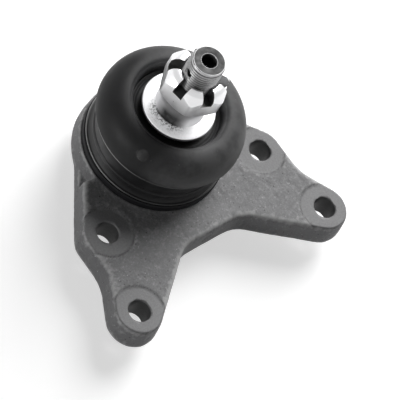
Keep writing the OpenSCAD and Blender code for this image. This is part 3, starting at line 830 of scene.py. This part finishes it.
def crown_line(settings, inner_top):
    """Section of the boot's crown: the turn into the recess with its fine groove, the recess and the neck."""
    floor, neck_inner_r = boot_high.z - settings.recess_depth, 9.8 * MM
    recess_r, wall = settings.recess_r, settings.wall
    centre_r = boot_high.x - settings.bulge_w
    arc_r = centre_r - recess_r
    arc = bow((centre_r, boot_high.z - arc_r), arc_r, arc_r, 90, 180, 24)
    groove_r, groove_w, groove_depth = recess_r + 1.5 * MM, 0.35 * MM, 0.22 * MM
    grooved = [(r, z - groove_depth * math.exp(-((r - groove_r) / groove_w) ** 2)) for r, z in arc]
    recess = rounded([arc[-1], (recess_r, floor + 0.2 * MM), (recess_r - 0.9 * MM, floor),
                      (recess_r - 1.6 * MM, floor - 0.5 * MM), (recess_r - 2.6 * MM, floor),
                      (neck_outer_r, floor), (neck_outer_r, clip_high.z + 0.1 * MM),
                      (neck_outer_r + 0.9 * MM, clip_high.z + 0.5 * MM),
                      (neck_outer_r + 0.4 * MM, neck_top_z), (neck_inner_r, neck_top_z)], 0.4 * MM)
    under = [(neck_inner_r, floor - 7 * MM), (neck_inner_r + 1.3 * MM, floor - 7 * MM),
             (neck_outer_r, floor - wall), (recess_r - 0.6 * MM, floor - wall),
             (recess_r + wall, floor - 0.2 * MM), (recess_r + wall, boot_high.z - wall - 1.6 * MM)]
    return grooved + recess[1:] + under + [inner_top]


def mark_edges(piece, settings):
    """Marks painted highlight lines along the lip's edge and the bulge's lower edge, strongest on the side
    that faces the rim light, and lightens the nub's top a little.
    """
    points = vectors(piece.data.vertices, "co")
    radius = np.hypot(points[:, 0], points[:, 1])
    edges = ((settings.lip_r - 0.25 * MM, ring_high.z + 1.25 * MM, 0.7),
             (settings.edge_r + 0.1 * MM, settings.edge_z + 0.15 * MM, 1.0))
    way = np.arctan2(points[:, 1], points[:, 0])
    # The painted highlight lines are strongest on the side that faces the rim light.
    lit_side = 0.20 + 0.80 * np.clip(2.2 * np.cos(way - math.radians(145)) - 0.9, 0, 1)
    line_w = 0.32 * MM
    rubbed = np.zeros(len(points))
    for edge_r, edge_z, share in edges:
        away = np.hypot(radius - edge_r, points[:, 2] - edge_z)
        rubbed = np.maximum(rubbed, share * lit_side * np.clip(1.6 - away / line_w, 0, 1))
    on_nub = np.clip((1.1 - nub_distance(points, settings)) / 0.2, 0, 1)
    store(piece.data, "edge", np.maximum(rubbed, 0.07 * on_nub))


def nub_distance(points, settings):
    """How far each point is from the middle of the moulding nub, in radii of the nub."""
    return np.linalg.norm(points - np.array(settings.nub_place), axis=1) / settings.nub_r


def raise_nub(piece, settings):
    """Lifts the small button that the mould left on the bulge."""
    points = vectors(piece.data.vertices, "co")
    lift = settings.nub_h * np.clip(1 - nub_distance(points, settings) ** 3, 0, 1)
    if lift.max() > 0:
        set_points(piece.data, points + vectors(piece.data.vertices, "normal") * lift[:, None])


class BALLJOINT_OT_boot(bpy.types.Operator):
    """Rubber dust boot: a base and a bulge fixed in place, and the crown, attached to the boot's neck"""

    bl_idname = "balljoint.boot"
    bl_label = "Dust boot"

    def execute(self, context):
        settings = context.scene.ball_joint_boot
        outer, inner = bulge_lines(settings)
        rubber = rubber_finish(settings)
        base = turned("boot_base", base_line(settings), BOOT_STEPS)
        bulge = turned("boot_bulge", outer + inner, BOOT_STEPS)
        crown_piece = turned("boot_crown", crown_line(settings, inner[0]), BOOT_STEPS)
        for piece in (base, bulge, crown_piece):
            mark_edges(piece, settings)
            raise_nub(piece, settings)
            dress(piece, rubber)
            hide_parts("dust_boot")
        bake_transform(base)
        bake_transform(bulge)
        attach(crown_piece, "boot_neck")
        return {"FINISHED"}


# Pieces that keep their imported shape

class BALLJOINT_OT_rings(bpy.types.Operator):
    """Black steel ring round the foot of the boot, and the wire clip round its neck"""

    bl_idname = "balljoint.rings"
    bl_label = "Boot ring and clip"

    def execute(self, context):
        dress_fittings(context, ("ring_black",))
        return {"FINISHED"}


class BALLJOINT_OT_inside(bpy.types.Operator):
    """Seats and spring inside the barrel, and the cover, plug and gasket that close it"""

    bl_idname = "balljoint.inside"
    bl_label = "Seats, spring and cover"

    def execute(self, context):
        slots = ("seat_plastic", "spring_steel", "cover_steel", "plug_zinc", "gasket_brass")
        dress_fittings(context, slots)
        return {"FINISHED"}


# Stud

def rod(radius, span, centre, axis, sides, end_radius=None):
    """A straight prism or cone used as a cutter."""
    work = bmesh.new()
    bmesh.ops.create_cone(work, cap_ends=True, segments=sides, radius1=radius,
                          radius2=radius if end_radius is None else end_radius, depth=span)
    aim = Vector(axis).to_track_quat("Z", "Y").to_matrix().to_4x4()
    return cutter_from(work, Matrix.Translation(Vector(centre)) @ aim)


def block(size, centre, turn):
    """A box used as a cutter, turned about the stud."""
    work = bmesh.new()
    bmesh.ops.create_cube(work, size=1.0)
    bmesh.ops.scale(work, vec=size, verts=work.verts)
    return cutter_from(work, Matrix.Rotation(turn, 4, "Z") @ Matrix.Translation(Vector(centre)))


def cutter_from(work, place):
    mesh = bpy.data.meshes.new("cutter")
    work.to_mesh(mesh)
    work.free()
    made = bpy.data.objects.new("cutter", mesh)
    bpy.context.scene.collection.objects.link(made)
    made.matrix_world = place
    return made


def cut_away(piece, cutter):
    """Takes the cutter's shape out of a piece."""
    bpy.context.view_layer.update()
    step = piece.modifiers.new("Cut", "BOOLEAN")
    step.operation = "DIFFERENCE"
    step.solver = "EXACT"
    step.object = cutter
    graph = bpy.context.evaluated_depsgraph_get()
    result = bpy.data.meshes.new_from_object(piece.evaluated_get(graph))
    piece.modifiers.clear()
    piece.data = result
    bpy.data.objects.remove(cutter)


def thread_point(settings, height, turn):
    """Radius of the threaded stud, and how deep in the groove that point is, from 0 to 1."""
    crest, flanks = 0.14, 0.72
    phase = height / settings.pitch - turn / (2 * math.pi)
    wave = abs(2 * (phase - math.floor(phase)) - 1)
    groove = min(1.0, max(0.0, (wave - crest) / flanks))
    radius = settings.thread_r - settings.thread_depth * groove
    cone_start = stud_high.z - settings.lead
    if height > cone_start:
        share = (height - cone_start) / settings.lead
        cone = settings.thread_r - (settings.thread_r - settings.end_r) * share
        if radius > cone:
            radius, groove = cone, 0.0
    return radius, groove


def stud_points(settings):
    """Rings of points from the foot of the ball to the end face, and each point's depth in the groove."""
    ball_r, neck_r, shoulder_r = -stud_low.z, 7.7 * MM, 9.5 * MM
    taper_end_r, undercut_r = 8.25 * MM, 7.4 * MM
    shoulder_z = ball_r + 4.5 * MM
    taper_top, taper_length = nut_low.z + 15.5 * MM, 20 * MM
    thread_low = nut_high.z - 8 * MM
    join = math.degrees(math.acos(neck_r / ball_r))
    line = [(max(r, 0.02 * MM), z) for r, z in bow((0, 0), ball_r, ball_r, -90, join, 40)]
    line += [(neck_r, shoulder_z - 4 * MM), (shoulder_r, shoulder_z), (shoulder_r, taper_top - taper_length),
             (taper_end_r, taper_top), (undercut_r, taper_top + 0.8 * MM), (undercut_r, taper_top + 2 * MM),
             (settings.thread_r, taper_top + 2.6 * MM), (settings.thread_r, thread_low - 0.3 * MM)]
    points = [point for radius, height in line for point in ring(radius, height, STUD_STEPS)]
    groove = [0.0] * len(points)
    rings_per_pitch = 9
    count = round((stud_high.z - thread_low) / (settings.pitch / rings_per_pitch))
    for row in range(count + 1):
        height = thread_low + (stud_high.z - thread_low) * row / count
        for k in range(STUD_STEPS):
            turn = 2 * math.pi * k / STUD_STEPS
            radius, depth = thread_point(settings, height, turn)
            points.append((radius * math.cos(turn), radius * math.sin(turn), height))
            groove.append(depth)
    return points, groove


def cut_key_socket(piece, settings):
    """Cuts the hexagon socket into the end face, with a chamfer and a round mouth."""
    end, up, over, flare = stud_high.z, (0, 0, 1), 1 * MM, 0.45 * MM
    middle = end - settings.key_depth / 2 + over / 2
    corner_r = settings.key_flats / math.sqrt(3)
    cut_away(piece, rod(corner_r, settings.key_depth + over, (0, 0, middle), up, 6))
    cut_away(piece, rod(SOCKET_CHAMFER_R - flare, 1.0 * MM, (0, 0, end), up, 64, SOCKET_CHAMFER_R + flare))
    cut_away(piece, rod(SOCKET_MOUTH_R, 3.0 * MM, (0, 0, end - 0.9 * MM), up, 64))


def cut_cotter_hole(piece):
    """Cuts the cotter hole through the thread, with a chamfer at both mouths."""
    hole = mounts["cotter_hole"]
    hole_r, middle = hole["dims"]["r_mm"] * MM, Vector(hole["pos_m"])
    along = Vector(hole["axis"]).normalized()
    mouth_mm, chamfer, chamfer_length = 7.55, 0.9 * MM, 1.3 * MM
    cut_away(piece, rod(hole_r, 20 * MM, hole["pos_m"], hole["axis"], 32))
    for outward in (along, -along):
        # Scaled in two steps: scaled in one, the last digit differs and the cut leaves the hole closed
        mouth = middle + outward * mouth_mm * MM
        cut_away(piece, rod(hole_r, chamfer_length, mouth, outward, 32, hole_r + chamfer))


class BALLJOINT_OT_stud(bpy.types.Operator):
    """Ball stud: ball, neck, taper, rolled thread with its cotter hole, and the key socket in its end"""

    bl_idname = "balljoint.stud"
    bl_label = "Ball stud"

    def execute(self, context):
        settings = context.scene.ball_joint_stud
        points, groove = stud_points(settings)
        faces = ring_faces(len(points) // STUD_STEPS, STUD_STEPS, closed=False)
        faces.append(tuple(reversed(range(STUD_STEPS))))
        faces.append(tuple(range(len(points) - STUD_STEPS, len(points))))
        piece = mesh_piece("threaded_stud", points, faces, STUD_SHARP)
        store(piece.data, "groove", groove)
        cut_key_socket(piece, settings)
        cut_cotter_hole(piece)
        mesh = piece.data
        mesh.set_sharp_from_angle(angle=STUD_SHARP)
        points = vectors(mesh.vertices, "co")
        below_end = np.clip((stud_high.z - 3.0 * MM - points[:, 2]) / (4.5 * MM), 0, 1)
        # Marks the thread's side away from the key light for painted shade.
        store(mesh, "oily", 0.60 * below_end * toward(points, 224, 3.0))
        dress(piece, steel_finish(settings))
        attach(piece, "stud")
        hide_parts("ball_stud")
        return {"FINISHED"}


# Nut

def soft_min(first, second, width):
    """The smaller of two lengths, with the corner between them rounded over about width."""
    gap = np.clip((second - first) / width, -1, 1)
    return np.minimum(first, second) - width * (1 - np.abs(gap)) ** 2 / 4


def subdivided(line, step):
    """A line with further points, about one step apart."""
    found = [line[0]]
    for before, after in zip(line, line[1:]):
        parts = max(1, round(math.dist(before, after) / step))
        way = (after[0] - before[0], after[1] - before[1])
        found += [(before[0] + way[0] * k / parts, before[1] + way[1] * k / parts)
                  for k in range(1, parts + 1)]
    return found


def nut_line(settings):
    """Section of the nut: flange and collar, the part that the hexagon limits, and the inside."""
    low, top, flange_r = nut_low.z, nut_high.z, nut_high.x
    collar_r, root_r = settings.collar_r, settings.root_r
    bore_r, relief_r = settings.bore_r, settings.relief_r
    flat_r, corner_r = settings.flats / 2, settings.flats / math.sqrt(3)
    face, hex_z = low + settings.flange_t, low + settings.collar_h
    collar_top = hex_z - 0.4 * MM
    plate_r = collar_r + root_r
    fall = settings.flange_fall / (flange_r - plate_r)
    plate = [(r, face - fall * (r - plate_r)) for r in np.linspace(flange_r, plate_r, 14)[:-1]]
    rim = rounded([(relief_r, low), (flange_r, low), plate[0], plate[3]], 0.45 * MM)
    root = bow((plate_r, face + root_r), root_r, root_r, 270, 180, 8)
    root_top, wall_rows = root[-1][1], 12
    wall = [(collar_r, root_top + (collar_top - root_top) * k / wall_rows) for k in range(1, wall_rows + 1)]
    dome = [(flat_r + 0.4 * MM, top - 3.6 * MM), (flat_r - 0.9 * MM, top - 1.4 * MM),
            (flat_r - 2.2 * MM, top - 0.4 * MM), (flat_r - 3.4 * MM, top), (bore_r + 0.9 * MM, top),
            (bore_r, top - 0.9 * MM)]
    shoulder = [(collar_r, collar_top), (flat_r - 0.2 * MM, hex_z + 0.2 * MM)]
    side = [(corner_r + 0.3 * MM, hex_z + 2.2 * MM), (corner_r + 0.3 * MM, top - 6.2 * MM)]
    crown = subdivided(rounded(shoulder + side + dome, 0.30 * MM), 0.30 * MM)
    inside = [(bore_r, hex_z), (relief_r, hex_z - 1 * MM)]
    return rim[:-1] + plate[3:] + root + wall, crown, inside


def nut_corner(settings):
    """Radius of the hexagon's rounded corners."""
    return settings.flats / math.sqrt(3) - 0.35 * MM


def nut_points(settings):
    """Points of the nut: its section taken round the stud, cut in to the hexagon at the crown."""
    round_part, crown, inside = nut_line(settings)
    line = np.array(round_part + crown + inside)
    limited = np.array([False] * len(round_part) + [True] * len(crown) + [False] * len(inside))
    turns = np.arange(NUT_STEPS) * 2 * math.pi / NUT_STEPS
    off_flat = (turns - settings.slot_turn + math.pi / 6) % (math.pi / 3) - math.pi / 6
    corners = np.full(NUT_STEPS, nut_corner(settings))
    hexagon = soft_min(settings.flats / 2 / np.cos(off_flat), corners, 0.5 * MM)
    radius = np.repeat(line[:, :1], NUT_STEPS, axis=1)
    in_hexagon = soft_min(radius, np.broadcast_to(hexagon, radius.shape), settings.edge)
    radius = np.where(limited[:, None], in_hexagon, radius)
    heights = np.repeat(line[:, 1:], NUT_STEPS, axis=1)
    return np.stack([radius * np.cos(turns), radius * np.sin(turns), heights], axis=2).reshape(-1, 3)


def slot_turns(settings):
    """Turns of the three cuts across the crown, each of which makes two slots."""
    return [settings.slot_turn + k * math.pi / 3 for k in range(3)]


def mark_plating(mesh, settings):
    """Marks the granular zone of the flange, whose dark pores are partly painted shade, and the painted shade
    up the collar, both on the side away from the key light.
    """
    points = vectors(mesh.vertices, "co")
    axis_r, z = np.hypot(points[:, 0], points[:, 1]), points[:, 2]
    collar_r, face_z = settings.collar_r, nut_low.z + settings.flange_t
    on_flange = np.clip((face_z + 0.5 * MM - z) / (0.5 * MM), 0, 1)
    near_root = np.clip(1.20 - (axis_r - collar_r) / (7.0 * MM), 0, 1)
    # The granular zone lies on the side away from the key light, where its dark pores stand partly for shade.
    store(mesh, "dull", on_flange * near_root * toward(points, 188, 1.1))
    # The collar's side away from the key light is marked below for painted shade.
    up_collar = np.clip(1.25 - np.abs(z - face_z - 1.6 * MM) / (10 * MM), 0, 1)
    on_collar = np.clip((collar_r + 1.1 * MM - axis_r) / (0.8 * MM), 0, 1)
    outside = axis_r > collar_r - 0.3 * MM
    store(mesh, "root", up_collar * on_collar * outside * toward(points, 199, 1.9))


def mark_slots(mesh, settings):
    """Marks the faces inside the slots and the bore for painted shade, lighter on the side where the slot
    walls catch light.
    """
    centres = vectors(mesh.polygons, "center")
    x, y, z = centres.T
    close = 0.01 * MM
    inside = (np.hypot(x, y) < settings.bore_r + 0.35 * MM) & (z > nut_low.z + 3 * MM)
    for turn in slot_turns(settings):
        across = np.abs(y * math.cos(turn) - x * math.sin(turn))
        in_crown = z > nut_high.z - settings.slot_depth - close
        inside |= (across < settings.slot_w / 2 + close) & in_crown
    store(mesh, "slot", inside * (1 - 0.5 * toward(centres, 310, 3.0)), "FACE")


class BALLJOINT_OT_nut(bpy.types.Operator):
    """Castle nut: pressed flange and collar, hexagon with a domed, slotted crown, bright zinc"""

    bl_idname = "balljoint.nut"
    bl_label = "Castle nut"

    def execute(self, context):
        settings = context.scene.ball_joint_nut
        points = nut_points(settings)
        faces = ring_faces(len(points) // NUT_STEPS, NUT_STEPS)
        piece = mesh_piece("castle_nut_zinc", points, faces)
        face_outwards(piece)
        over = 2 * MM
        size = (2 * nut_corner(settings) + 4 * MM, settings.slot_w, settings.slot_depth + over)
        middle = (0, 0, nut_high.z - settings.slot_depth / 2 + over / 2)
        for turn in slot_turns(settings):
            cut_away(piece, block(size, middle, turn))
        mesh = piece.data
        mark_plating(mesh, settings)
        mark_slots(mesh, settings)
        mesh.shade_smooth()
        mesh.set_sharp_from_angle(angle=NUT_SHARP)
        dress(piece, zinc_finish(settings))
        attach(piece, "stud")
        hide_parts("castle_nut")
        return {"FINISHED"}


# Stage

def floor_finish(settings):
    """White paper: lit and shadowed like paper, and just white to the camera where nothing shades it."""
    made = Finish("paper")
    made.plain(Base_Color=settings.paper, Roughness=0.9, Specular_IOR_Level=0.1)
    rays = made.node("ShaderNodeLightPath").outputs
    seen = made.larger(rays["Is Camera Ray"], rays["Is Glossy Ray"])
    glow = made.node("ShaderNodeEmission")
    made.feed(glow.inputs["Strength"], made.times(seen, settings.glow))
    both = made.node("ShaderNodeAddShader")
    made.feed(both.inputs[0], made.shader.outputs["BSDF"])
    made.feed(both.inputs[1], glow.outputs["Emission"])
    made.feed(made.tree.nodes["Material Output"].inputs["Surface"], both.outputs["Shader"])
    return made.material


def surround(settings):
    """A world that is white to the camera, dim as a light, and mirrored as pale walls and a ceiling."""
    world = bpy.data.worlds.new("surround")
    world.use_nodes = True
    made = Nodes(world.node_tree, "Generated")
    rays = made.node("ShaderNodeLightPath").outputs
    walls = made.ramp(made.along("Z"), 0.15, 0.65, settings.shine, settings.ceiling)
    mirrored = made.mix_value(rays["Is Glossy Ray"], settings.ambient, walls)
    back = made.tree.nodes["Background"]
    back.inputs["Color"].default_value = (1, 1, 1, 1)
    made.feed(back.inputs["Strength"], made.mix_value(rays["Is Camera Ray"], mirrored, 1.0))
    return world


def lamp(name, place, size, power):
    """A round lamp that points at the joint."""
    data = bpy.data.lights.new(name, "AREA")
    data.shape = "DISK"
    data.size = size
    data.energy = power
    made = bpy.data.objects.new(name, data)
    made.location = place
    made.rotation_mode = "QUATERNION"
    made.rotation_quaternion = (Vector(LAMP_TARGET) - Vector(place)).to_track_quat("-Z", "Y")
    bpy.context.scene.collection.objects.link(made)


def aimed_camera(settings):
    """A camera at its place, aimed at its target and turned about its line of sight."""
    data = bpy.data.cameras.new("camera")
    data.lens = settings.lens
    data.sensor_width = 36.0
    data.clip_start, data.clip_end = 0.05, 20.0
    made = bpy.data.objects.new("camera", data)
    place, target = Vector(settings.camera_place), Vector(settings.camera_target)
    sight = (target - place).normalized()
    aim = sight.to_track_quat("-Z", "Y").to_matrix().to_4x4()
    roll = Matrix.Rotation(settings.camera_roll, 4, sight)
    made.matrix_world = Matrix.Translation(place) @ roll @ aim
    bpy.context.scene.collection.objects.link(made)
    return made


class BALLJOINT_OT_stage(bpy.types.Operator):
    """Pale floor, soft lights, pale surround and the camera"""

    bl_idname = "balljoint.stage"
    bl_label = "Stage"

    def execute(self, context):
        settings = context.scene.ball_joint_stage
        scene = context.scene
        half = FLOOR_HALF
        corners = [(x, y, cad_low.z) for x, y in ((-half, -half), (half, -half), (half, half), (-half, half))]
        floor = mesh_piece("floor", corners, [(0, 1, 2, 3)])
        floor.data.materials.append(floor_finish(settings))
        for name, place, size in LAMPS:
            lamp(name, place, size, getattr(settings, name + "_power"))
        scene.world = surround(settings)
        scene.camera = aimed_camera(settings)
        scene.view_settings.view_transform = "Standard"
        return {"FINISHED"}


class BALLJOINT_PT_panel(bpy.types.Panel):
    """Steps that finish the ball joint"""

    bl_label = "Ball Joint"
    bl_idname = "BALLJOINT_PT_panel"
    bl_space_type = "VIEW_3D"
    bl_region_type = "UI"
    bl_category = "Ball Joint"

    def draw(self, context):
        for step in STEPS:
            self.layout.operator(step.bl_idname)


STEPS = (
    BALLJOINT_OT_stage,
    BALLJOINT_OT_bracket,
    BALLJOINT_OT_rings,
    BALLJOINT_OT_inside,
    BALLJOINT_OT_boot,
    BALLJOINT_OT_stud,
    BALLJOINT_OT_nut,
)
SETTINGS = {
    "ball_joint_forging": ForgingSettings,
    "ball_joint_boot": BootSettings,
    "ball_joint_fittings": FittingSettings,
    "ball_joint_stud": StudSettings,
    "ball_joint_nut": NutSettings,
    "ball_joint_stage": StageSettings,
}


def register():
    for name, group in SETTINGS.items():
        bpy.utils.register_class(group)
        setattr(bpy.types.Scene, name, PointerProperty(type=group))
    for step in STEPS:
        bpy.utils.register_class(step)
    bpy.utils.register_class(BALLJOINT_PT_panel)


def unregister():
    bpy.utils.unregister_class(BALLJOINT_PT_panel)
    for step in reversed(STEPS):
        bpy.utils.unregister_class(step)
    for name, group in SETTINGS.items():
        delattr(bpy.types.Scene, name)
        bpy.utils.unregister_class(group)


def main():
    register()
    bpy.ops.balljoint.stage()
    bpy.ops.balljoint.bracket()
    bpy.ops.balljoint.rings()
    bpy.ops.balljoint.inside()
    bpy.ops.balljoint.boot()
    bpy.ops.balljoint.stud()
    bpy.ops.balljoint.nut()


if __name__ == "__main__":
    main()
